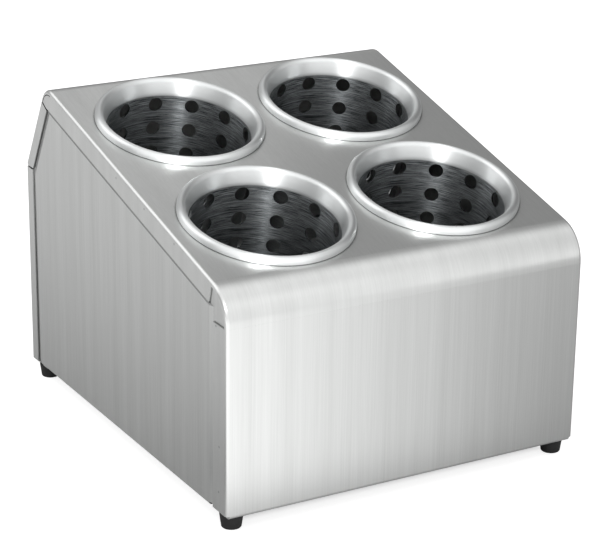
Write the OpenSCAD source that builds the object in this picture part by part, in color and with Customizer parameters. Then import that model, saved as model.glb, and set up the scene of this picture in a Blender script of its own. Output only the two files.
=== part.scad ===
// Countertop cutlery dispenser: a folded sheet-steel housing with a sloping top,
// four lift-out perforated cylinders, and rubber feet.
// Millimetres. Origin on the counter under the middle of the body, +Z up,
// +Y towards the tall rear, +X to the right as seen from the front.

/* [Body] */
// Width of the body, side to side
body_w = 264; // [256:1:360]
// Depth of the body, front to rear
body_d = 304; // [300:1:380]
// Height at which the front and the sloping top would meet, above the body's underside
front_h = 146.5; // [140:0.5:200]
// Height at which the rear facet and the rear would meet, above the body's underside
rear_h = 150.5; // [110:0.5:190]
// Slope of the top, in degrees
top_slope = 14.4; // [8:0.1:18]
// Distance from the front face back to the ridge
ridge_setback = 268; // [262:1:276]

/* [Folded sheet] */
// Thickness of the housing sheet
sheet_t = 1.2; // [0.8:0.1:1.5]
// Outer radius of the large bend between the front and the top
front_bend_r = 26; // [16:1:30]
// Outer radius of the bend along the ridge
ridge_bend_r = 14; // [8:0.5:16]
// Outer radius of the bend between the rear facet and the rear
rear_bend_r = 4; // [3:0.5:8]
// Outer radius of the tight bends along the edges
edge_bend_r = 2.5; // [1.8:0.1:3]
// Width of the front's side flanges
front_flange_w = 18; // [12:0.5:24]
// Width of the top's side flanges
top_flange_w = 14.5; // [10:0.5:20]
// Width of the rear facet's side flanges
facet_flange_w = 11; // [8:0.5:14]
// Width of the rear's side flanges
rear_flange_w = 11; // [8:0.5:14]
// Depth of the side lips that run round the front bend and the ridge
lip_w = 3; // [3:0.1:4]
// Width of the slit between the ridge's lips and the top's side flanges
relief_w = 0.6; // [0.3:0.1:1]
// Distance from the ridge's bend down to the facet's side flanges
facet_flange_start = 3; // [2.5:0.1:8]
// Gap there between the top's side flanges and the facet's
corner_gap = 1.4; // [0.5:0.1:2]
// Gap between the facet's side flanges and the rear's
notch_w = 1.2; // [0.5:0.1:3]
// Depth of the inward returns along the bottom of the front and the rear
return_w = 22; // [20:0.5:30]

/* [Side panels] */
// Width of the step that carries the panel's field out flush with the flanges
joggle_w = 4; // [1.5:0.1:5]
// Width of that step along the top
top_joggle_w = 1.2; // [0.8:0.1:3]
// Gap between a flange's edge and that step, at the front and top
flange_gap = 0.4; // [0.2:0.1:2]
// Gap between a flange's edge and that step, at the facet and rear
rear_flange_gap = 1.4; // [0.4:0.1:3]
// Depth of the inward return along the bottom of a side panel
side_return_w = 14; // [8:0.5:18]
// Distance from the panel's step to the ends of that return
return_end = 1; // [0.5:0.1:5]
// Clearance between a side panel and the inside of a bend or a return
panel_clearance = 0.3; // [0.2:0.1:0.5]

/* [Cylinders] */
// Inner radius of a cylinder's straight wall
cup_inner_r = 49.5; // [40:0.5:51]
// Thickness of a cylinder's wall, rim and base
cup_t = 1; // [0.6:0.1:1.2]
// Depth of a cylinder below the sloping top
cup_depth = 132; // [100:1:134]
// Outer radius of the rim
rim_r = 58; // [56:0.5:61]
// Height of the rim above the sloping top
rim_h = 5; // [4:0.5:8]
// Outer radius of the rolled edge of the rim
rim_round = 3; // [2:0.1:3.5]
// Depth below the sloping top at which the flared mouth meets the wall
flare_depth = 5; // [2:0.5:9]
// Gap between the rim's edge and the sloping top
rim_gap = 0.2; // [0.1:0.05:0.3]
// Clearance between the flared mouth and the hole in the top
hole_clearance = 1; // [0.5:0.1:1.5]
// Spacing of the cylinders across the body
cup_pitch_x = 126; // [124:0.5:135]
// Spacing of the cylinders along the slope
cup_pitch_y = 126; // [124:0.5:132]
// Distance along the slope from the front corner to the middle of the four cylinders
cup_middle = 141.5; // [136:0.5:144]

/* [Perforations] */
// Diameter of a perforation
hole_d = 10; // [5:0.5:12]
// Columns of perforations round a cylinder, an even number
hole_columns = 12; // [6:2:12]
// Rows of perforations down a cylinder
hole_rows = 6; // [1:1:6]
// Spacing of the rows
hole_pitch = 19; // [14:0.5:19]
// Depth of the first row below the end of the flared mouth
first_row = 7.8; // [6.5:0.1:10]

/* [Base] */
// Height of a base's floor above the lower edge of its cylinder
base_recess = 6; // [3:0.5:8]
// Clearance between a base's skirt and its cylinder
base_clearance = 0.1; // [0.05:0.05:0.3]
// Diameter of a drain hole
drain_d = 8; // [4:0.5:9]
// Radius of the inner ring of drain holes
drain_ring_inner = 18; // [12:0.5:20]
// Radius of the outer ring of drain holes
drain_ring_outer = 35; // [30:0.5:35]

/* [Feet] */
// Height of a foot
foot_h = 10; // [8:0.5:16]
// Radius of a foot where it meets the body
foot_top_r = 7.8; // [7:0.1:8]
// Radius of a foot at the counter
foot_bottom_r = 6.6; // [6:0.1:7]
// Rounding of a foot's lower edge
foot_round = 1.2; // [0.5:0.1:1.5]
// Distance from the side of the body to a foot's centre
foot_inset_x = 9.5; // [9.5:0.1:12]
// Distance from the front or rear of the body to a foot's centre
foot_inset_y = 11; // [10.5:0.5:12]
// Depth of the recess for the screw head in a foot
recess_d = 4.6; // [4:0.1:6]
// Radius of that recess
recess_r = 4.2; // [4.1:0.1:4.6]

/* [Fasteners] */
// Radius of the screw shank
screw_r = 2; // [1.5:0.25:2]
// Length of the screw under its head
screw_len = 12; // [11:0.5:16]
// Radius of the screw head
screw_head_r = 3.5; // [3:0.1:3.8]
// Height of the screw head
screw_head_h = 2.4; // [1.5:0.1:2.6]
// Width of the slot in the screw head
slot_w = 1.2; // [0.8:0.1:1.4]
// Depth of the slot in the screw head
slot_d = 1.1; // [0.5:0.1:1.2]
// Radius of a washer
washer_r = 4; // [3.6:0.1:4]
// Thickness of a washer
washer_t = 0.5; // [0.3:0.1:0.8]
// Width of a nut across its flats
nut_af = 7; // [6.5:0.5:8]
// Height of a nut
nut_h = 3.2; // [2:0.1:3.5]
// Clearance round the screw in the sheet, the foot and the washer
screw_clearance = 0.25; // [0.1:0.05:0.4]
// Clearance between the screw and the nut
nut_clearance = 0.05; // [0.02:0.01:0.1]

/* [Colours] */
// Brushed steel of the housing
steel_colour = "#b9bab8";
// Polished steel of the cylinders
cup_colour = "#c9ccce";
// Bright steel of the fasteners
fastener_colour = "#9fa3a6";
// Black rubber of the feet
rubber_colour = "#1c1c1c";

/* [Hidden] */
$fn = 96;

// A hair's breadth by which a cutter passes the face that it cuts
past = 0.1;
// How far a notch trims a flange's end, and how far it runs in past the tight bend
slit_trim = 0.2;
slit_past = 0.5;
// How much thinner each face of the sheet is drawn round a bend, and how far a flat
// stretch laps over the end of one
drawn = 0.02;
lap = 0.1;
// How far the flange that rounds the ridge's corner is drawn back into the top's
corner_run = 8;
// Thickness of the leaves between which a sloping step is stretched
leaf = 0.01;
// Steps in the arc under a large bend, in that of a rolled rim, and in that of a foot's
// lower edge
bend_steps = 16;
roll_steps = 14;
edge_steps = 5;
left = -1;
right = 1;
front = -1;
rear = 1;

// How far each cylinder was turned when it was dropped in, in degrees
front_left_turn = 10.8;
front_right_turn = 6.7;
rear_left_turn = 7.3;
rear_right_turn = 4.2;

// Side profile of the housing: the [y, z] points at which its flat stretches would
// meet, from the end of the front return, up the front, over the top and down the rear
front_y = -body_d / 2;
rear_y = body_d / 2;
ridge_y = front_y + ridge_setback;
ridge_h = front_h + ridge_setback * tan(top_slope);
PROFILE = [[front_y + return_w, 0], [front_y, 0], [front_y, front_h], [ridge_y, ridge_h],
    [rear_y, rear_h], [rear_y, 0], [rear_y - return_w, 0]];
BEND_R = [0, edge_bend_r, front_bend_r, ridge_bend_r, rear_bend_r, edge_bend_r, 0];
// Side flange on each flat stretch; 0 is a stretch without one
FLANGES = [0, front_flange_w, top_flange_w, facet_flange_w, rear_flange_w, 0];
// Bends whose edges carry a side lip; the others stop short of the flanges
LIPPED = [2, 3];

// Points along an arc from one angle to another
function arc(centre, r, from, to, steps) =
    [for (k = [0:steps]) let (angle = from + (to - from) * k / steps) centre + r * [cos(angle), sin(angle)]];

// Direction of stretch i, its unit vector, and the unit vector into the housing
function heading(i) = atan2(PROFILE[i + 1][1] - PROFILE[i][1], PROFILE[i + 1][0] - PROFILE[i][0]);
function along(i) = [cos(heading(i)), sin(heading(i))];
function inward(i) = [sin(heading(i)), -cos(heading(i))];
// Angle turned through at bend i, and the length that its arc takes off each stretch
function turned(i) = (heading(i - 1) - heading(i) + 360) % 360;
function setback(i) = BEND_R[i] == 0 ? 0 : BEND_R[i] * tan(turned(i) / 2);
// Length by which a stretch laps over its bend at corner i
function lap_at(i) = BEND_R[i] == 0 ? 0 : lap;
// Axis about which bend i is turned
function bend_axis(i) = PROFILE[i] - along(i - 1) * setback(i) + inward(i - 1) * BEND_R[i];
// Corner i of the profile moved in by one distance on the stretch before it and one after
function inset_corner(i, before, after) =
    let (c = cos(turned(i)), s = sin(turned(i)))
    PROFILE[i] + ((before - after * c) * inward(i - 1) + (after - before * c) * inward(i)) / (s * s);
// Outline of a side panel's field, each distance being that from one outer face
function field(front_in, top_in, facet_in, rear_in, bottom) = [
    [front_y + front_in, bottom],
    inset_corner(2, front_in, top_in),
    inset_corner(3, top_in, facet_in),
    inset_corner(4, facet_in, rear_in),
    [rear_y - rear_in, bottom]];

// Side panels: underside, clearance from the bends, and where their flush field begins
panel_bottom = sheet_t + panel_clearance;
panel_inset = edge_bend_r + panel_clearance;
front_margin = front_flange_w + flange_gap;
top_margin = top_flange_w + flange_gap;
facet_margin = facet_flange_w + rear_flange_gap;
rear_margin = rear_flange_w + rear_flange_gap;

// Mouth of a cylinder: middle of the rolled edge, slope of the flare and where they meet
roll_r = rim_r - rim_round;
roll_h = rim_h - rim_round;
mouth_reach = norm([roll_r - cup_inner_r, roll_h + flare_depth]);
flare_angle = atan2(roll_h + flare_depth, roll_r - cup_inner_r) + asin(rim_round / mouth_reach);
// Height at which the back of the flare leaves the outside of the wall
flare_back_h = -flare_depth - cup_t * tan((90 - flare_angle) / 2);
// Outer radius of the flare where it passes through the top's outer face
flare_r = cup_inner_r + flare_depth / tan(flare_angle) + cup_t / sin(flare_angle);
panel_hole_r = flare_r + hole_clearance;

// Stack of the foot's fasteners, above the counter
washer_h = recess_d - washer_t;
nut_bottom = foot_h + sheet_t;

// Point of the sloping top's outer face at x, at a distance up the slope from its corner
function on_slope(x, distance) = [x, front_y + distance * cos(top_slope),
    foot_h + front_h + distance * sin(top_slope)];
function cup_place(side, row) = on_slope(side * cup_pitch_x / 2, cup_middle + row * cup_pitch_y / 2);

// ---- Housing ----

// Rounded open box seen from its end: a web across the body and its two flanges
module u_outline(width, depth, corner) {
    translate([-width / 2, corner]) square([width, depth - corner]);
    translate([-width / 2 + corner, 0]) square([width - 2 * corner, depth]);
    for (side = [left, right])
        translate([side * (width / 2 - corner), corner]) circle(corner);
}

// Section through the folded sheet, each face drawn thin inside its place: the web lies
// along x, its flanges point along y
module channel_section(flange, thin) difference() {
    translate([0, thin]) u_outline(body_w - 2 * thin, flange - thin, edge_bend_r - thin);
    translate([0, sheet_t - thin])
        u_outline(body_w - 2 * (sheet_t - thin), flange, edge_bend_r - sheet_t + thin);
}

// Section where the flanges are no more than lips
module lip_section(thin) intersection() {
    channel_section(2 * edge_bend_r, thin);
    translate([-body_w / 2, 0]) square([body_w, lip_w - thin]);
}

// Section of a stretch that has no flanges and ends beside the tight bends
module strip_section(thin) {
    translate([-body_w / 2 + edge_bend_r + thin, thin])
        square([body_w - 2 * edge_bend_r - 2 * thin, sheet_t - 2 * thin]);
}

// Flat stretch i of the sheet, between its two bends
module stretch(i) {
    from = PROFILE[i] + along(i) * (setback(i) - lap_at(i));
    to = PROFILE[i + 1] - along(i) * (setback(i + 1) - lap_at(i + 1));
    translate([0, from[0], from[1]]) rotate([heading(i) - 90, 0, 0])
        linear_extrude(norm(to - from)) {
            if (FLANGES[i] > 0) channel_section(FLANGES[i], 0);
            else strip_section(0);
        }
}

// Bend i of the sheet, turned about its own axis
module bend(i) {
    axis = bend_axis(i);
    translate([0, axis[0], axis[1]]) rotate([0, 90, 0]) rotate([0, 0, heading(i) + 180])
        rotate_extrude(angle = turned(i)) translate([BEND_R[i], 0]) rotate(90) {
            if (len(search(i, LIPPED)) > 0) lip_section(drawn);
            else strip_section(drawn);
        }
}

// Points where the stretches before and after bend i meet its arc
function bend_start(i) = PROFILE[i] - along(i - 1) * setback(i);
function bend_end(i) = PROFILE[i] + along(i) * setback(i);

// Cutter across the flange of stretch i on both sides, square to the stretch: at is the
// point on the profile where it starts, and before and after how far it reaches each way
module slit(i, at, before, after) {
    reach = edge_bend_r + slit_past;
    depth = max(FLANGES) + 2 * past;
    for (side = [left, right])
        translate([0, at[0], at[1]]) rotate([heading(i) - 90, 0, 0])
            translate([side * (body_w / 2 + past - reach / 2), depth / 2 - past, (after - before) / 2])
                cube([reach, depth, before + after], center = true);
}

// The top's side flanges carried on round the corner inside the ridge's lips
module corner_flange() {
    start = bend_start(3) - along(2) * corner_run;
    rise = lip_w + relief_w;
    end = bend_end(3) + along(3) * (facet_flange_start - corner_gap);
    intersection() {
        translate([0, start[0], start[1]]) rotate([heading(2) - 90, 0, 0])
            for (side = [left, right])
                translate([side * (body_w - sheet_t) / 2 - sheet_t / 2, lip_w / 2, 0])
                    cube([sheet_t, top_flange_w - lip_w / 2, 3 * corner_run]);
        translate([-body_w, 0, 0]) rotate([90, 0, 90]) linear_extrude(2 * body_w)
            polygon(concat(
                [start + along(2) + inward(2) * rise],
                arc(bend_axis(3), BEND_R[3] - rise, heading(2) + 90, heading(3) + 90, bend_steps),
                [end + inward(3) * rise, end + inward(3) * facet_margin,
                inset_corner(3, 2 * top_flange_w, facet_margin),
                start + along(2) + inward(2) * 2 * top_flange_w]));
    }
}

// Cutter that trims the facet's side flanges to lips below the ridge's bend
module facet_cut() {
    corner = bend_end(3);
    for (side = [left, right])
        translate([side * body_w / 2, corner[0], corner[1]]) rotate([heading(3) - 90, 0, 0])
            translate([-facet_flange_w / 2, lip_w, -2 * lap])
                cube([facet_flange_w, facet_flange_w, facet_flange_start + 2 * lap]);
}

// One sheet folded from the front return over the top to the rear return
module housing_wrap() color(steel_colour) difference() {
    translate([0, 0, foot_h]) {
        for (i = [0, 1, 2, 5]) stretch(i);
        difference() {
            stretch(3);
            slit(4, bend_end(4), 0, facet_flange_w);
            facet_cut();
        }
        difference() {
            stretch(4);
            slit(4, bend_end(4), slit_trim, notch_w);
        }
        for (i = [1:len(FLANGES) - 1]) bend(i);
        corner_flange();
    }
    for (side = [left, right], row = [front, rear])
        translate(cup_place(side, row)) rotate([top_slope, 0, 0])
            cylinder(r = panel_hole_r, h = 4 * edge_bend_r, center = true);
    at_feet() translate([0, 0, foot_h - past])
        cylinder(r = screw_r + screw_clearance, h = sheet_t + 2 * past);
}

// ---- Side panels ----

// Outline of a side panel: the profile moved in, with arcs under the large bends
module panel_outline() {
    polygon(concat(
        [[front_y + panel_inset, panel_bottom]],
        [for (i = LIPPED) each arc(bend_axis(i), BEND_R[i] - panel_inset,
            heading(i - 1) + 90, heading(i) + 90, bend_steps)],
        [inset_corner(4, panel_inset, panel_inset), [rear_y - panel_inset, panel_bottom]]));
}

// Upright plate of a given thickness, with its outline in the y-z plane
module upright(x, thickness) {
    translate([x, 0, 0]) rotate([90, 0, 90]) linear_extrude(thickness) children();
}

// Field outline before the step (grown = 0) or past it (grown = joggle_w)
module field_outline(grown, bottom) {
    edge = joggle_w - grown;
    top_edge = edge * top_joggle_w / joggle_w;
    polygon(field(front_margin + edge, top_margin + top_edge, facet_margin + edge,
        rear_margin + edge, bottom));
}

// Raised field, with its sloping step all round except along the bottom
module raised_field(x, bottom) {
    hull() {
        upright(x, leaf) field_outline(0, bottom);
        upright(x + sheet_t - leaf, leaf) field_outline(joggle_w, bottom);
    }
}

// Side panel drawn for the left side, with its outer face at x = 0 and the body to +x
module side_panel() {
    field_front = front_y + front_margin + joggle_w;
    field_rear = rear_y - rear_margin - joggle_w;
    return_len = field_rear - field_front - 2 * return_end;
    difference() {
        union() {
            upright(sheet_t, sheet_t) panel_outline();
            raised_field(0, panel_bottom + edge_bend_r);
        }
        raised_field(sheet_t, panel_bottom - edge_bend_r);
        upright(2 * sheet_t - leaf, sheet_t) field_outline(joggle_w, panel_bottom - edge_bend_r);
        translate([sheet_t - past, field_front - joggle_w, panel_bottom - past])
            cube([2 * sheet_t, field_rear - field_front + 2 * joggle_w, edge_bend_r + past]);
    }
    translate([edge_bend_r, field_rear - return_end, panel_bottom + edge_bend_r]) rotate([90, 0, 0])
        rotate([0, 0, 180]) linear_extrude(return_len) intersection() {
            difference() {
                circle(edge_bend_r);
                circle(edge_bend_r - sheet_t);
            }
            square(edge_bend_r);
        }
    translate([edge_bend_r, field_front + return_end, panel_bottom])
        cube([side_return_w - edge_bend_r, return_len, sheet_t]);
}

module left_side_panel() color(steel_colour)
    translate([-body_w / 2, 0, foot_h]) side_panel();

module right_side_panel() color(steel_colour)
    translate([body_w / 2, 0, foot_h]) mirror([1, 0, 0]) side_panel();

// ---- Cylinders ----

// Half section of a cylinder: straight wall, flared mouth and rolled edge, whose free
// end stops just above the sloping top
module cup_section() {
    centre = [roll_r, roll_h];
    polygon(concat(
        [[cup_inner_r, -cup_depth], [cup_inner_r, -flare_depth]],
        arc(centre, rim_round, 90 + flare_angle, 0, roll_steps),
        [[rim_r, rim_gap], [rim_r - cup_t, rim_gap]],
        arc(centre, rim_round - cup_t, 0, 90 + flare_angle, roll_steps),
        [[cup_inner_r + cup_t, flare_back_h], [cup_inner_r + cup_t, -cup_depth]]));
}

// Cutters for the perforations, set half a column away from where the profile's sweep starts
module perforations() {
    for (row = [0:hole_rows - 1], column = [0:hole_columns - 1])
        translate([0, 0, -flare_depth - first_row - row * hole_pitch])
            rotate([0, 0, (column + 0.5) * 360 / hole_columns]) rotate([0, 90, 0])
                translate([0, 0, cup_inner_r - hole_d / 2]) cylinder(d = hole_d, h = hole_d + cup_t);
}

// A column of perforations faces the rear of the slope when the turn is 0
module cylinder_shell(side, row, turn) color(cup_colour)
    translate(cup_place(side, row)) rotate([top_slope, 0, 0])
        rotate([0, 0, 90 - 180 / hole_columns - turn]) difference() {
            rotate_extrude() cup_section();
            perforations();
        }

// Pressed base: a floor with drain holes, on a skirt that sits inside the wall's end
module cylinder_base(side, row, turn) color(cup_colour) {
    base_r = cup_inner_r - base_clearance;
    translate(cup_place(side, row)) rotate([top_slope, 0, 0])
        translate([0, 0, -cup_depth]) rotate([0, 0, -turn]) difference() {
            cylinder(r = base_r, h = base_recess);
            translate([0, 0, -past]) cylinder(r = base_r - cup_t, h = base_recess - cup_t + past);
            cylinder(d = drain_d, h = base_recess + past);
            for (k = [0:5]) rotate(k * 60) translate([0, drain_ring_inner])
                cylinder(d = drain_d, h = base_recess + past);
            for (k = [0:11]) rotate(k * 30) translate([0, drain_ring_outer])
                cylinder(d = drain_d, h = base_recess + past);
        }
}

module front_left_cylinder() cylinder_shell(left, front, front_left_turn);
module front_right_cylinder() cylinder_shell(right, front, front_right_turn);
module rear_left_cylinder() cylinder_shell(left, rear, rear_left_turn);
module rear_right_cylinder() cylinder_shell(right, rear, rear_right_turn);
module front_left_base() cylinder_base(left, front, front_left_turn);
module front_right_base() cylinder_base(right, front, front_right_turn);
module rear_left_base() cylinder_base(left, rear, rear_left_turn);
module rear_right_base() cylinder_base(right, rear, rear_right_turn);

// ---- Feet and their fasteners ----

module at_foot(side, end)
    translate([side * (body_w / 2 - foot_inset_x), end * (body_d / 2 - foot_inset_y), 0]) children();

module at_feet() for (side = [left, right], end = [front, rear]) at_foot(side, end) children();

// Tapered rubber foot, recessed from below for the screw head
module foot(side, end) color(rubber_colour) at_foot(side, end) {
    bore_r = screw_r + screw_clearance;
    rotate_extrude() polygon(concat(
        [[bore_r, recess_d], [bore_r, foot_h], [foot_top_r, foot_h]],
        arc([foot_bottom_r - foot_round, foot_round], foot_round, 0, -90, edge_steps),
        [[recess_r, 0], [recess_r, recess_d]]));
}

module front_left_foot() foot(left, front);
module front_right_foot() foot(right, front);
module rear_left_foot() foot(left, rear);
module rear_right_foot() foot(right, rear);

module foot_screws() color(fastener_colour) at_feet() difference() {
    union() {
        translate([0, 0, washer_h - screw_head_h]) cylinder(r = screw_head_r, h = screw_head_h);
        translate([0, 0, washer_h]) cylinder(r = screw_r, h = screw_len);
    }
    translate([-2 * screw_head_r, -slot_w / 2, washer_h - screw_head_h - past])
        cube([4 * screw_head_r, slot_w, slot_d + past]);
}

module foot_washers() color(fastener_colour) at_feet() translate([0, 0, washer_h]) difference() {
    cylinder(r = washer_r, h = washer_t);
    translate([0, 0, -past]) cylinder(r = screw_r + screw_clearance, h = washer_t + 2 * past);
}

module foot_nuts() color(fastener_colour) at_feet() translate([0, 0, nut_bottom]) difference() {
    cylinder(d = nut_af / cos(30), h = nut_h, $fn = 6);
    translate([0, 0, -past]) cylinder(r = screw_r + nut_clearance, h = nut_h + 2 * past);
}

housing_wrap();
left_side_panel();
right_side_panel();
front_left_cylinder();
front_right_cylinder();
rear_left_cylinder();
rear_right_cylinder();
front_left_base();
front_right_base();
rear_left_base();
rear_right_base();
front_left_foot();
front_right_foot();
rear_left_foot();
rear_right_foot();
foot_screws();
foot_washers();
foot_nuts();
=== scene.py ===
# Countertop cutlery dispenser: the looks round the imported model, in metres and in its frame.
# x runs left to right, y from the low front to the tall rear, z up from the counter.
import math

import bpy
from mathutils import Matrix, Vector


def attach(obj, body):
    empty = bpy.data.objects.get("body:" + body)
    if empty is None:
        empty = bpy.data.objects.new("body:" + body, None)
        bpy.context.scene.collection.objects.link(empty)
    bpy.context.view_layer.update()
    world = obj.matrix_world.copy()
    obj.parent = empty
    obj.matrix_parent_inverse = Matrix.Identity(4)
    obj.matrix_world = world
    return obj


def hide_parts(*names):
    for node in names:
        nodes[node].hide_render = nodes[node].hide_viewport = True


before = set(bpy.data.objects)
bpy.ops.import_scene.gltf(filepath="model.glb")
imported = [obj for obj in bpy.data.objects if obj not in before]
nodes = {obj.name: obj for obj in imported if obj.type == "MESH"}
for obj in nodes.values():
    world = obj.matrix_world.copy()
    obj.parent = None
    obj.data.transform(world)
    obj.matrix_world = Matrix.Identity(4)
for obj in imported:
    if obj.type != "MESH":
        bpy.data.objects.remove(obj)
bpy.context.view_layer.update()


# ---- Housing wrap ----
# One sheet of 1.2 mm stainless steel, brushed lengthwise before it was cut and folded, so
# that the grain runs up the front, back over the top and down the rear. Grade 304, fine
# brushed finish: a pale grey metal whose fine lines smear what it mirrors.
GRAIN_WIDTH = 0.0008  # real lines are near 0.1 mm; drawn coarser, so that they show
GRAIN_LENGTH = 0.09
BAND_WIDTH = 0.011  # broad bands left by the brushing belt
BAND_LENGTH = 0.9
WELD_R = 0.0010
FLANGE_WELDS = (  # y and z of the spots where the flanges are welded to the side panels
    (-0.1385, 0.1352), (-0.1425, 0.0567), (-0.1418, 0.0259),
    (0.0013, 0.1903), (-0.0401, 0.1811), (-0.0825, 0.1705))
PAINTED_SHADE_REACH = 0.0022  # painted shade darkens the corners of the lapped joints this far out


def linear(code):
    """An sRGB hex colour as linear RGBA."""
    channels = [int(code[i:i + 2], 16) / 255 for i in (1, 3, 5)]
    return [c / 12.92 if c <= 0.04045 else ((c + 0.055) / 1.055) ** 2.4 for c in channels] + [1]


def add(tree, kind, inputs=None, **settings):
    """A node with its settings, whose inputs take a value or another node's output."""
    node = tree.nodes.new(kind)
    for name, value in settings.items():
        setattr(node, name, value)
    for name, value in (inputs or {}).items():
        if isinstance(value, bpy.types.NodeSocket):
            tree.links.new(value, node.inputs[name])
        else:
            node.inputs[name].default_value = value
    return node


def new_material(name):
    """A material with an empty node tree and its output node."""
    material = bpy.data.materials.new(name)
    material.use_nodes = True
    material.node_tree.nodes.clear()
    return material, material.node_tree, add(material.node_tree, "ShaderNodeOutputMaterial")


def finish_with(piece, material):
    """Gives a piece this one material."""
    piece.data.materials.clear()
    piece.data.materials.append(material)


def brushed_steel(name, dark, light, rough, grain, bands, grain_bump, across, smear, turned=None,
                  welds=(), painted_step_shade=False):
    """Brushed or spun stainless steel. grain and bands are sizes of a streak along x, y, z,
    across is the direction across the lines, in which they smear a highlight, welds are the
    y and z of dull spots, and with painted step shade, faces that lean up get painted shade."""
    material, tree, output = new_material(name)
    place = add(tree, "ShaderNodeTexCoord").outputs["Object"]
    if turned:
        place = add(tree, "ShaderNodeMapping", {
            "Vector": place, "Location": turned[0], "Rotation": turned[1]},
            vector_type="TEXTURE").outputs[0]
    fine = add(tree, "ShaderNodeTexNoise", {
        "Vector": add(tree, "ShaderNodeMapping", {
            "Vector": place, "Scale": [1 / s for s in grain]}).outputs[0],
        "Scale": 1.0, "Detail": 3.0, "Roughness": 0.65})
    broad = add(tree, "ShaderNodeTexNoise", {
        "Vector": add(tree, "ShaderNodeMapping", {
            "Vector": place, "Scale": [1 / s for s in bands]}).outputs[0],
        "Scale": 1.0, "Detail": 2.0, "Roughness": 0.5})
    both = add(tree, "ShaderNodeMix", {
        "Factor": 0.42, 2: fine.outputs["Fac"], 3: broad.outputs["Fac"]}, data_type="FLOAT")
    tone = add(tree, "ShaderNodeMapRange", {
        "Value": both.outputs[0], "From Min": 0.33, "From Max": 0.67})
    colour = add(tree, "ShaderNodeMix", {
        "Factor": tone.outputs[0], 6: linear(dark), 7: linear(light)}, data_type="RGBA")
    # Painted shade: the colour goes dark in the corners of lapped joints, where ambient occlusion
    # finds them sheltered
    shade_reach_ao = add(tree, "ShaderNodeAmbientOcclusion", {"Distance": PAINTED_SHADE_REACH}, samples=8)
    painted_crevice_shade = add(tree, "ShaderNodeMapRange", {
        "Value": shade_reach_ao.outputs["AO"], "From Min": 0.35, "From Max": 0.85})
    colour = add(tree, "ShaderNodeMix", {
        "Factor": painted_crevice_shade.outputs[0], 6: linear("#2c2e2f"), 7: colour.outputs[2]},
        data_type="RGBA")
    # Painted shade: faces of a step that lean up are darkened, standing in for the shade in the
    # crevice of the joggle
    if painted_step_shade:
        lean = add(tree, "ShaderNodeSeparateXYZ", {
            0: add(tree, "ShaderNodeNewGeometry").outputs["True Normal"]})
        step_shade_amount = add(tree, "ShaderNodeMapRange", {
            "Value": lean.outputs["Z"], "From Min": 0.06, "From Max": 0.25, "To Max": 0.7})
        colour = add(tree, "ShaderNodeMix", {
            "Factor": step_shade_amount.outputs[0], 6: colour.outputs[2], 7: linear("#2c2e2f")},
            data_type="RGBA")
    for y, z in welds:
        away = add(tree, "ShaderNodeVectorMath", {
            0: add(tree, "ShaderNodeVectorMath", {
                0: place, 1: (0, 1, 1)}, operation="MULTIPLY").outputs[0],
            1: (0, y, z)}, operation="DISTANCE")
        spot = add(tree, "ShaderNodeMapRange", {
            "Value": away.outputs["Value"], "From Min": WELD_R * 0.4, "From Max": WELD_R,
            "To Min": 0.6, "To Max": 0.0})
        colour = add(tree, "ShaderNodeMix", {
            "Factor": spot.outputs[0], 6: colour.outputs[2], 7: linear("#6c6f70")},
            data_type="RGBA")
    gloss = add(tree, "ShaderNodeMapRange", {
        "Value": both.outputs[0], "From Min": 0.33, "From Max": 0.67,
        "To Min": rough[0], "To Max": rough[1]})
    relief = add(tree, "ShaderNodeBump", {
        "Height": fine.outputs["Fac"], "Strength": 1.0, "Distance": grain_bump})
    shader = add(tree, "ShaderNodeBsdfPrincipled", {
        "Base Color": colour.outputs[2], "Metallic": 1.0, "Roughness": gloss.outputs[0],
        "Anisotropic": smear, "Normal": relief.outputs[0],
        "Tangent": add(tree, "ShaderNodeCombineXYZ", {
            0: across[0], 1: across[1], 2: across[2]}).outputs[0]})
    tree.links.new(shader.outputs[0], output.inputs["Surface"])
    return material


housing_steel = brushed_steel(
    "brushed_stainless_sheet", "#c6c7c6", "#d2d3d2", (0.34, 0.29),
    (GRAIN_WIDTH, GRAIN_WIDTH * 14, GRAIN_LENGTH), (BAND_WIDTH, BAND_LENGTH, BAND_LENGTH),
    0.000003, (1, 0.05, 0), 0.6, welds=FLANGE_WELDS)
finish_with(nodes["housing_wrap"], housing_steel)


# ---- Side panels ----
# Two plates of the same sheet with the grain upright, stepped out so that their field lies
# flush with the flanges that lap over their margins, and spot welded to those flanges.
side_steel = brushed_steel(
    "upright_brushed_stainless", "#c2c3c2", "#d2d3d2", (0.36, 0.30),
    (GRAIN_WIDTH, GRAIN_WIDTH, GRAIN_LENGTH), (BAND_WIDTH, BAND_WIDTH, BAND_LENGTH),
    0.000003, (0, 1, 0), 0.6, painted_step_shade=True)
finish_with(nodes["left_side_panel"], side_steel)
finish_with(nodes["right_side_panel"], side_steel)


# ---- Cutlery cylinders ----
# Drawn and spun from 1 mm stainless steel: a perforated wall, a flared mouth, and a rolled
# rim that hangs on the top. The rim is polished; spinning left fine rings in the wall.
SLOPE = math.radians(14.4)
FRONT_EDGE = Vector((0, -0.152, 0.1565))  # where the front and the slope would meet
WALL_R = 0.0495
WALL_T = 0.001
CUP_DEPTH = 0.132
ROLL_R = 0.055  # middle of the rolled edge
ROLL_H = 0.002
ROLL_ROUND = 0.003
RIM_END_H = 0.0002
FLARE_DEPTH = 0.005
FLARE_SOFT = 0.0012  # rounding between the flare and the wall
HOLE_D = 0.010
HOLE_COLUMNS = 12
HOLE_ROWS = 6
HOLE_PITCH = 0.019
FIRST_HOLE = 0.0128
HALF_PITCH = 0.063  # half the distance between neighbouring cylinders, both ways
MIDDLE_UP_SLOPE = 0.1415  # from the front edge to midway between the rows
RIM_STEPS = 192
TURNS = {"front_left": 10.8, "front_right": 6.7, "rear_left": 7.3, "rear_right": 4.2}


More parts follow.
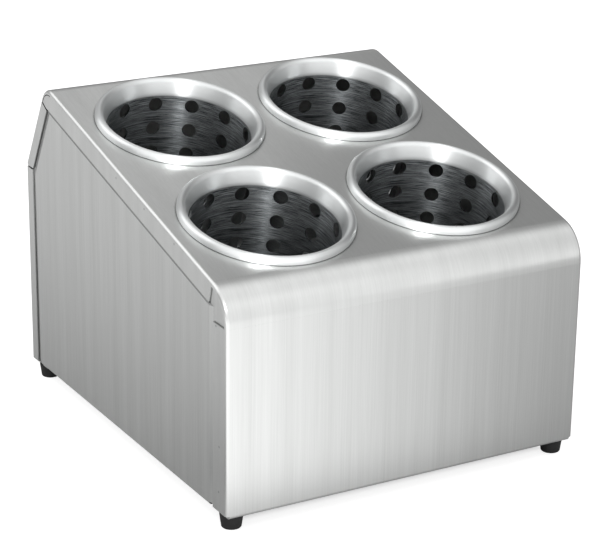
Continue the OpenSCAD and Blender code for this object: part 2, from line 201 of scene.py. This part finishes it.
def deselect():
    """Leaves no object selected, whatever was selected before."""
    if bpy.context.object and bpy.context.object.mode == "EDIT":
        bpy.ops.object.mode_set(mode="OBJECT")
    bpy.ops.object.select_all(action="DESELECT")


def only(piece):
    """Makes a piece the one that is selected and active."""
    deselect()
    piece.select_set(True)
    bpy.context.view_layer.objects.active = piece


def cup_place(name):
    """Matrix that sets a cylinder, drawn on the z axis with its mouth at z = 0, in its hole."""
    side = -1 if name.endswith("left") else 1
    row = -1 if name.startswith("front") else 1
    up_slope = MIDDLE_UP_SLOPE + row * HALF_PITCH
    spot = FRONT_EDGE + Vector((
        side * HALF_PITCH, up_slope * math.cos(SLOPE), up_slope * math.sin(SLOPE)))
    return Matrix.Translation(spot) @ Matrix.Rotation(SLOPE, 4, "X")


reach = math.hypot(ROLL_R - WALL_R, ROLL_H + FLARE_DEPTH)
flare_angle = math.atan2(ROLL_H + FLARE_DEPTH, ROLL_R - WALL_R) + math.asin(ROLL_ROUND / reach)
roll_start = math.pi / 2 + flare_angle

# The visible side of the section, drawn point by point from the foot of the wall
deselect()
bpy.ops.mesh.primitive_plane_add(size=0.01, location=(WALL_R, 0, -CUP_DEPTH))
cup = bpy.context.object
cup.name = "cutlery_cylinder"
bpy.ops.object.transform_apply(location=True)
bpy.ops.object.mode_set(mode="EDIT")
bpy.ops.mesh.merge(type="CENTER")


def draw_to(step_x, step_z):
    """Draws the section on from its last point by one straight stretch."""
    bpy.ops.mesh.extrude_region_move(TRANSFORM_OT_translate={"value": (step_x, 0, step_z)})


draw_to(0, CUP_DEPTH - FLARE_DEPTH - FLARE_SOFT)
flare_run = (math.cos(flare_angle), math.sin(flare_angle))
draw_to(flare_run[0] * FLARE_SOFT * 0.3, FLARE_SOFT * 0.6 + flare_run[1] * FLARE_SOFT * 0.3)
draw_to(flare_run[0] * FLARE_SOFT * 0.7, FLARE_SOFT * 0.4 + flare_run[1] * FLARE_SOFT * 0.7)
tangent = (ROLL_R + ROLL_ROUND * math.cos(roll_start), ROLL_H + ROLL_ROUND * math.sin(roll_start))
draw_to(tangent[0] - WALL_R - flare_run[0] * FLARE_SOFT,
        tangent[1] + FLARE_DEPTH - flare_run[1] * FLARE_SOFT)
bpy.ops.mesh.spin(steps=16, angle=-roll_start, center=(ROLL_R, 0, ROLL_H), axis=(0, 1, 0))
draw_to(0, RIM_END_H - ROLL_H)
bpy.ops.mesh.select_all(action="SELECT")
bpy.ops.mesh.spin(steps=RIM_STEPS, angle=math.tau, center=(0, 0, 0), axis=(0, 0, 1))
bpy.ops.mesh.select_all(action="SELECT")
bpy.ops.mesh.remove_doubles(threshold=1e-6)
bpy.ops.mesh.normals_make_consistent(inside=False)
bpy.ops.object.mode_set(mode="OBJECT")
wall = cup.modifiers.new("wall", "SOLIDIFY")
wall.thickness = WALL_T
wall.offset = 1.0
bpy.ops.object.modifier_apply(modifier="wall")

# Punches for the holes: one at the rear of the ring, spun round it, then copied down the wall
deselect()
bpy.ops.mesh.primitive_cylinder_add(
    vertices=32, radius=HOLE_D / 2, depth=HOLE_D, location=(0, WALL_R, -FIRST_HOLE),
    rotation=(math.pi / 2, 0, 0))
punches = bpy.context.object
bpy.ops.object.transform_apply(location=True, rotation=True)
bpy.ops.object.mode_set(mode="EDIT")
bpy.ops.mesh.select_all(action="SELECT")
bpy.ops.mesh.spin(steps=HOLE_COLUMNS - 1, angle=math.tau * (HOLE_COLUMNS - 1) / HOLE_COLUMNS,
                  center=(0, 0, 0), axis=(0, 0, 1), dupli=True)
bpy.ops.mesh.select_all(action="SELECT")
for _ in range(HOLE_ROWS - 1):
    bpy.ops.mesh.duplicate_move(TRANSFORM_OT_translate={"value": (0, 0, -HOLE_PITCH)})
bpy.ops.object.mode_set(mode="OBJECT")
only(cup)
punch = cup.modifiers.new("punch", "BOOLEAN")
punch.object = punches
punch.solver = "EXACT"
bpy.ops.object.modifier_apply(modifier="punch")
bpy.data.objects.remove(punches)
bpy.ops.object.shade_smooth_by_angle(angle=math.radians(32))

SCRATCH_WIDTH = 0.00025  # rings left by drawing the wall, near 0.1 mm; drawn coarser
SCRATCH_LENGTH = 0.014
POLISH_END = -0.0062  # below this the wall is left dull


def spun_steel(name):
    """Stainless steel with a polished rim and flare, and a dull wall ringed by fine scratches,
    whose inner face carries painted shade, darker further down.
    """
    material, tree, output = new_material(f"spun_stainless_{name}")
    place = add(tree, "ShaderNodeMapping", {
        "Vector": add(tree, "ShaderNodeTexCoord").outputs["Object"],
        "Location": cup_place(name).translation, "Rotation": (SLOPE, 0, 0)},
        vector_type="TEXTURE").outputs[0]
    rings = add(tree, "ShaderNodeTexNoise", {
        "Vector": add(tree, "ShaderNodeMapping", {"Vector": place, "Scale": (
            1 / SCRATCH_LENGTH, 1 / SCRATCH_LENGTH, 1 / SCRATCH_WIDTH)}).outputs[0],
        "Scale": 1.0, "Detail": 4.0, "Roughness": 0.7})
    height = add(tree, "ShaderNodeSeparateXYZ", {0: place}).outputs["Z"]
    polish = add(tree, "ShaderNodeMapRange", {
        "Value": height, "From Min": POLISH_END - 0.0006, "From Max": POLISH_END + 0.0006})
    wall_tone = add(tree, "ShaderNodeMapRange", {
        "Value": rings.outputs["Fac"], "From Min": 0.40, "From Max": 0.66})
    # Painted shade: the inner face of the wall is coloured far darker than the outer face, and
    # darker still further down
    depth = add(tree, "ShaderNodeMapRange", {
        "Value": height, "From Min": -0.075, "From Max": POLISH_END})
    shaded_dark_rings = add(tree, "ShaderNodeMix", {
        "Factor": depth.outputs[0], 6: linear("#0d0f10"), 7: linear("#1b1f21")}, data_type="RGBA")
    shaded_light_rings = add(tree, "ShaderNodeMix", {
        "Factor": depth.outputs[0], 6: linear("#5a5e60"), 7: linear("#b2b6b8")}, data_type="RGBA")
    shaded_inner_colour = add(tree, "ShaderNodeMix", {
        "Factor": wall_tone.outputs[0], 6: shaded_dark_rings.outputs[2], 7: shaded_light_rings.outputs[2]},
        data_type="RGBA")
    outer_colour = add(tree, "ShaderNodeMix", {
        "Factor": wall_tone.outputs[0], 6: linear("#b4b7b8"), 7: linear("#d4d6d6")},
        data_type="RGBA")
    radius = add(tree, "ShaderNodeVectorMath", {
        0: place, 1: (1, 1, 0)}, operation="MULTIPLY")
    outer = add(tree, "ShaderNodeMapRange", {
        "Value": add(tree, "ShaderNodeVectorMath", {
            0: radius.outputs[0]}, operation="LENGTH").outputs["Value"],
        "From Min": WALL_R + 0.0003, "From Max": WALL_R + 0.0006})
    wall_colour = add(tree, "ShaderNodeMix", {
        "Factor": outer.outputs[0], 6: shaded_inner_colour.outputs[2], 7: outer_colour.outputs[2]},
        data_type="RGBA")
    colour = add(tree, "ShaderNodeMix", {
        "Factor": polish.outputs[0], 6: wall_colour.outputs[2], 7: linear("#e4e6e6")},
        data_type="RGBA")
    gloss = add(tree, "ShaderNodeMapRange", {
        "Value": polish.outputs[0], "To Min": 0.46, "To Max": 0.36})
    relief = add(tree, "ShaderNodeBump", {
        "Height": rings.outputs["Fac"], "Strength": 1.0, "Distance": 0.000002})
    along = add(tree, "ShaderNodeCombineXYZ", {1: -math.sin(SLOPE), 2: math.cos(SLOPE)})
    shader = add(tree, "ShaderNodeBsdfPrincipled", {
        "Base Color": colour.outputs[2], "Metallic": 1.0, "Roughness": gloss.outputs[0],
        "Anisotropic": 0.92, "Normal": relief.outputs[0], "Tangent": along.outputs[0]})
    tree.links.new(shader.outputs[0], output.inputs["Surface"])
    return material


for name, turn in TURNS.items():
    copy = bpy.data.objects.new(f"{name}_cutlery_cylinder", cup.data.copy())
    bpy.context.scene.collection.objects.link(copy)
    only(copy)
    copy.matrix_world = cup_place(name) @ Matrix.Rotation(math.radians(-turn), 4, "Z")
    bpy.ops.object.transform_apply(location=True, rotation=True, scale=True)
    finish_with(copy, spun_steel(name))
    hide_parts(f"{name}_cylinder")
    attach(copy, f"{name}_holder")
bpy.data.objects.remove(cup)


# ---- Cylinder bases ----
# Pressed discs of 1 mm stainless steel with drain holes, welded inside the foot of each
# cylinder. Pressing leaves them duller than the spun wall.
for name in TURNS:
    finish_with(nodes[f"{name}_base"], brushed_steel(
        f"pressed_stainless_{name}", "#9c9e9e", "#bfc1c1", (0.46, 0.36),
        (0.002, 0.002, 0.002), (0.03, 0.03, 0.03), 0.000008, (1, 0, 0), 0.0,
        (cup_place(name).translation, (SLOPE, 0, 0))))


# ---- Feet ----
# Tapered feet moulded in black nitrile rubber, slightly dusty: nearly black, matt, with a
# fine moulded grain.
foot_rubber, tree, output = new_material("black_rubber")
place = add(tree, "ShaderNodeTexCoord").outputs["Object"]
grain = add(tree, "ShaderNodeTexNoise", {"Vector": place, "Scale": 1 / 0.0012, "Detail": 4.0})
shader = add(tree, "ShaderNodeBsdfPrincipled", {
    "Base Color": add(tree, "ShaderNodeMix", {
        "Factor": grain.outputs["Fac"], 6: linear("#0d0d0d"), 7: linear("#242424")},
        data_type="RGBA").outputs[2],
    "Roughness": add(tree, "ShaderNodeMapRange", {
        "Value": grain.outputs["Fac"], "To Min": 0.5, "To Max": 0.75}).outputs[0],
    "Normal": add(tree, "ShaderNodeBump", {
        "Height": grain.outputs["Fac"], "Strength": 0.6, "Distance": 0.00005}).outputs[0]})
tree.links.new(shader.outputs[0], output.inputs["Surface"])
for name in TURNS:
    finish_with(nodes[f"{name}_foot"], foot_rubber)


# ---- Foot fasteners ----
# M4 pan-head screws, washers and nuts, zinc plated: a bright, slightly blue-grey metal with
# the cloudy patches that barrel plating leaves.
zinc_plate, tree, output = new_material("zinc_plated_steel")
place = add(tree, "ShaderNodeTexCoord").outputs["Object"]
cloud = add(tree, "ShaderNodeTexNoise", {"Vector": place, "Scale": 1 / 0.002, "Detail": 3.0})
shader = add(tree, "ShaderNodeBsdfPrincipled", {
    "Base Color": add(tree, "ShaderNodeMix", {
        "Factor": cloud.outputs["Fac"], 6: linear("#9ba1a6"), 7: linear("#c6cbce")},
        data_type="RGBA").outputs[2],
    "Metallic": 1.0,
    "Roughness": add(tree, "ShaderNodeMapRange", {
        "Value": cloud.outputs["Fac"], "To Min": 0.22, "To Max": 0.42}).outputs[0]})
tree.links.new(shader.outputs[0], output.inputs["Surface"])
for name in ("foot_screws", "foot_washers", "foot_nuts"):
    finish_with(nodes[name], zinc_plate)


# ---- Counter and studio ----
# A pale counter that runs out of sight, white to the camera. Steel also sees a painted pool of
# light in front of the part, brighter to the left, a weaker painted glow beyond its left side,
# and one patch of painted shade there.
UNDER_X = 0.100  # half the patch beneath the part that doesn't glow, across and along
UNDER_Y = 0.118
SEEN_WHITE = 0.8  # what the counter adds for the camera, on top of its lit grey
bpy.ops.mesh.primitive_plane_add(size=30)
counter = bpy.context.object
counter.name = "counter"
pale_counter, tree, output = new_material("pale_counter")
place = add(tree, "ShaderNodeTexCoord").outputs["Object"]


def ramp(direction, begins, ends, low, high):
    """A level that goes from low to high along a direction on the counter."""
    along = add(tree, "ShaderNodeVectorMath", {0: place, 1: direction}, operation="DOT_PRODUCT")
    return add(tree, "ShaderNodeMapRange", {
        "Value": along.outputs["Value"], "From Min": begins, "From Max": ends,
        "To Min": low, "To Max": high}, interpolation_type="SMOOTHSTEP").outputs[0]


def combine(operation, first, second):
    """Two levels joined by one operation."""
    return add(tree, "ShaderNodeMath", {0: first, 1: second}, operation=operation).outputs[0]


# Painted light: a pool in front and a glow at the left, laid on the counter as emission that only
# reflections see
painted_pool_front = combine("MULTIPLY", ramp((1, 0.583, 0), -0.32, 0.10, 1.2, 0.0),
                   ramp((0, -1, 0), 0.12, 0.24, 0.0, 1.0))
painted_glow_left = combine("MULTIPLY", ramp((-1, 0, 0), 0.12, 0.44, 0.06, 0.37),
                  ramp((0, -1, 0), -0.06, 0.08, 1.0, 0.45))
painted_shade_left = combine("MULTIPLY", ramp((-1, 0, 0), 0.17, 0.22, 0.0, 1.0), combine(
    "MULTIPLY", ramp((0, 1, 0), -0.20, -0.15, 0.0, 1.0), ramp((0, 1, 0), -0.12, -0.06, 1.0, 0.0)))
from_middle = add(tree, "ShaderNodeVectorMath", {
    0: add(tree, "ShaderNodeVectorMath", {0: place}, operation="ABSOLUTE").outputs[0],
    1: (UNDER_X, UNDER_Y, 0)}, operation="SUBTRACT")
beyond = add(tree, "ShaderNodeSeparateXYZ", {0: from_middle.outputs[0]})
outside = add(tree, "ShaderNodeMapRange", {
    "Value": combine("MAXIMUM", beyond.outputs["X"], beyond.outputs["Y"]),
    "From Min": 0.0, "From Max": 0.02}).outputs[0]
path = add(tree, "ShaderNodeLightPath")
glow = add(tree, "ShaderNodeMath", {
    0: path.outputs["Is Camera Ray"], 1: SEEN_WHITE,
    2: combine("MULTIPLY", combine("ADD", painted_pool_front, painted_glow_left), path.outputs["Is Glossy Ray"])},
    operation="MULTIPLY_ADD").outputs[0]
seen = add(tree, "ShaderNodeEmission", {
    "Color": linear("#ffffff"), "Strength": combine("MULTIPLY", glow, outside)})
# Painted shade: to reflections the counter is darker in a patch left of the part
counter_colour = add(tree, "ShaderNodeMix", {
    "Factor": combine("MULTIPLY", painted_shade_left, path.outputs["Is Glossy Ray"]),
    6: linear("#b4b4b4"), 7: linear("#7e8081")}, data_type="RGBA")
matt = add(tree, "ShaderNodeBsdfDiffuse", {"Color": counter_colour.outputs[2]})
lit = add(tree, "ShaderNodeAddShader", {0: matt.outputs[0], 1: seen.outputs[0]})
tree.links.new(lit.outputs[0], output.inputs["Surface"])
finish_with(counter, pale_counter)

# The studio round it: white to the camera, bright in front and overhead, dim low behind
studio = bpy.data.worlds.new("studio")
bpy.context.scene.world = studio
studio.use_nodes = True
tree = studio.node_tree
tree.nodes.clear()
output = add(tree, "ShaderNodeOutputWorld")
way = add(tree, "ShaderNodeTexCoord").outputs["Generated"]


def towards(direction, begins, ends, low, high):
    """A level that goes from low to high as the view nears a direction."""
    near = add(tree, "ShaderNodeVectorMath", {0: way, 1: direction}, operation="DOT_PRODUCT")
    return add(tree, "ShaderNodeMapRange", {
        "Value": near.outputs["Value"], "From Min": begins, "From Max": ends,
        "To Min": low, "To Max": high}, interpolation_type="SMOOTHSTEP").outputs[0]


front_glow = towards((0.05, -0.78, 0.62), 0.1, 0.6, 0.5, 1.3)
left_glow = towards((-0.52, 0.50, 0.70), 0.85, 0.95, 0.0, 1.2)
dark_behind = towards((0.47, 0.87, -0.12), 0.86, 0.98, 1.0, 0.12)
dim_right = towards((0.76, 0.42, 0.50), 0.85, 1.0, 1.0, 0.4)
dim_front_right = towards((0.85, -0.30, 0.43), 0.82, 0.98, 1.0, 0.55)
strength = add(tree, "ShaderNodeMath", {
    0: combine("ADD", combine("MULTIPLY", front_glow, dim_front_right), left_glow),
    1: combine("MULTIPLY", dark_behind, dim_right)}, operation="MULTIPLY")
light_path = add(tree, "ShaderNodeLightPath")
level = add(tree, "ShaderNodeMix", {
    "Factor": light_path.outputs["Is Camera Ray"], 2: strength.outputs[0], 3: 1.0},
    data_type="FLOAT")
sky = add(tree, "ShaderNodeBackground", {"Color": linear("#ffffff"), "Strength": level.outputs[0]})
tree.links.new(sky.outputs[0], output.inputs["Surface"])


def aimed_lamp(name, kind, place, target, power):
    """A lamp at a place, turned to a target, which the camera doesn't see."""
    data = bpy.data.lights.new(name, kind)
    data.energy = power
    lamp = bpy.data.objects.new(name, data)
    bpy.context.scene.collection.objects.link(lamp)
    lamp.location = place
    lamp.rotation_euler = (Vector(target) - Vector(place)).to_track_quat("-Z", "Y").to_euler()
    lamp.visible_camera = False
    return data


# A small soft box behind the part lifts the rear of the top, and a narrow spot from the front
# left reaches down into the cylinders, where it draws a streak on the far walls
soft_box = aimed_lamp("soft_box_rear", "AREA", (0.17, 0.43, 0.60), (-0.05, 0.12, 0.2), 0.06)
soft_box.shape = "SQUARE"
soft_box.size = 0.25
spot = aimed_lamp("spot_front", "SPOT", (-0.50, -0.95, 0.85), (0, 0.01, 0.17), 40)
spot.spot_size = math.radians(16)
spot.spot_blend = 0.5
spot.shadow_soft_size = 0.06

# The photographed view: a long lens from the front left, a little above, hardly rolled
AIM = Vector((0.0619847, 0.0975879, 0.0565920))
AZIMUTH = math.radians(-29.89608)
ELEVATION = math.radians(19.85403)
ROLL = math.radians(0.7445)
DISTANCE = 1.62658
FOCAL_PIXELS = 2177.073
IMAGE_WIDTH = 600
SENSOR_WIDTH = 36
back = Vector((math.sin(AZIMUTH) * math.cos(ELEVATION), -math.cos(AZIMUTH) * math.cos(ELEVATION),
               math.sin(ELEVATION)))
camera = bpy.data.objects.new("camera", bpy.data.cameras.new("camera"))
bpy.context.scene.collection.objects.link(camera)
camera.data.sensor_width = SENSOR_WIDTH
camera.data.lens = FOCAL_PIXELS / IMAGE_WIDTH * SENSOR_WIDTH
camera.location = AIM + back * DISTANCE
camera.rotation_mode = "QUATERNION"
rolled = Matrix.Rotation(ROLL, 3, "Z").to_quaternion()
camera.rotation_quaternion = (-back).to_track_quat("-Z", "Y") @ rolled
bpy.context.scene.camera = camera

bpy.context.scene.view_settings.view_transform = "Standard"
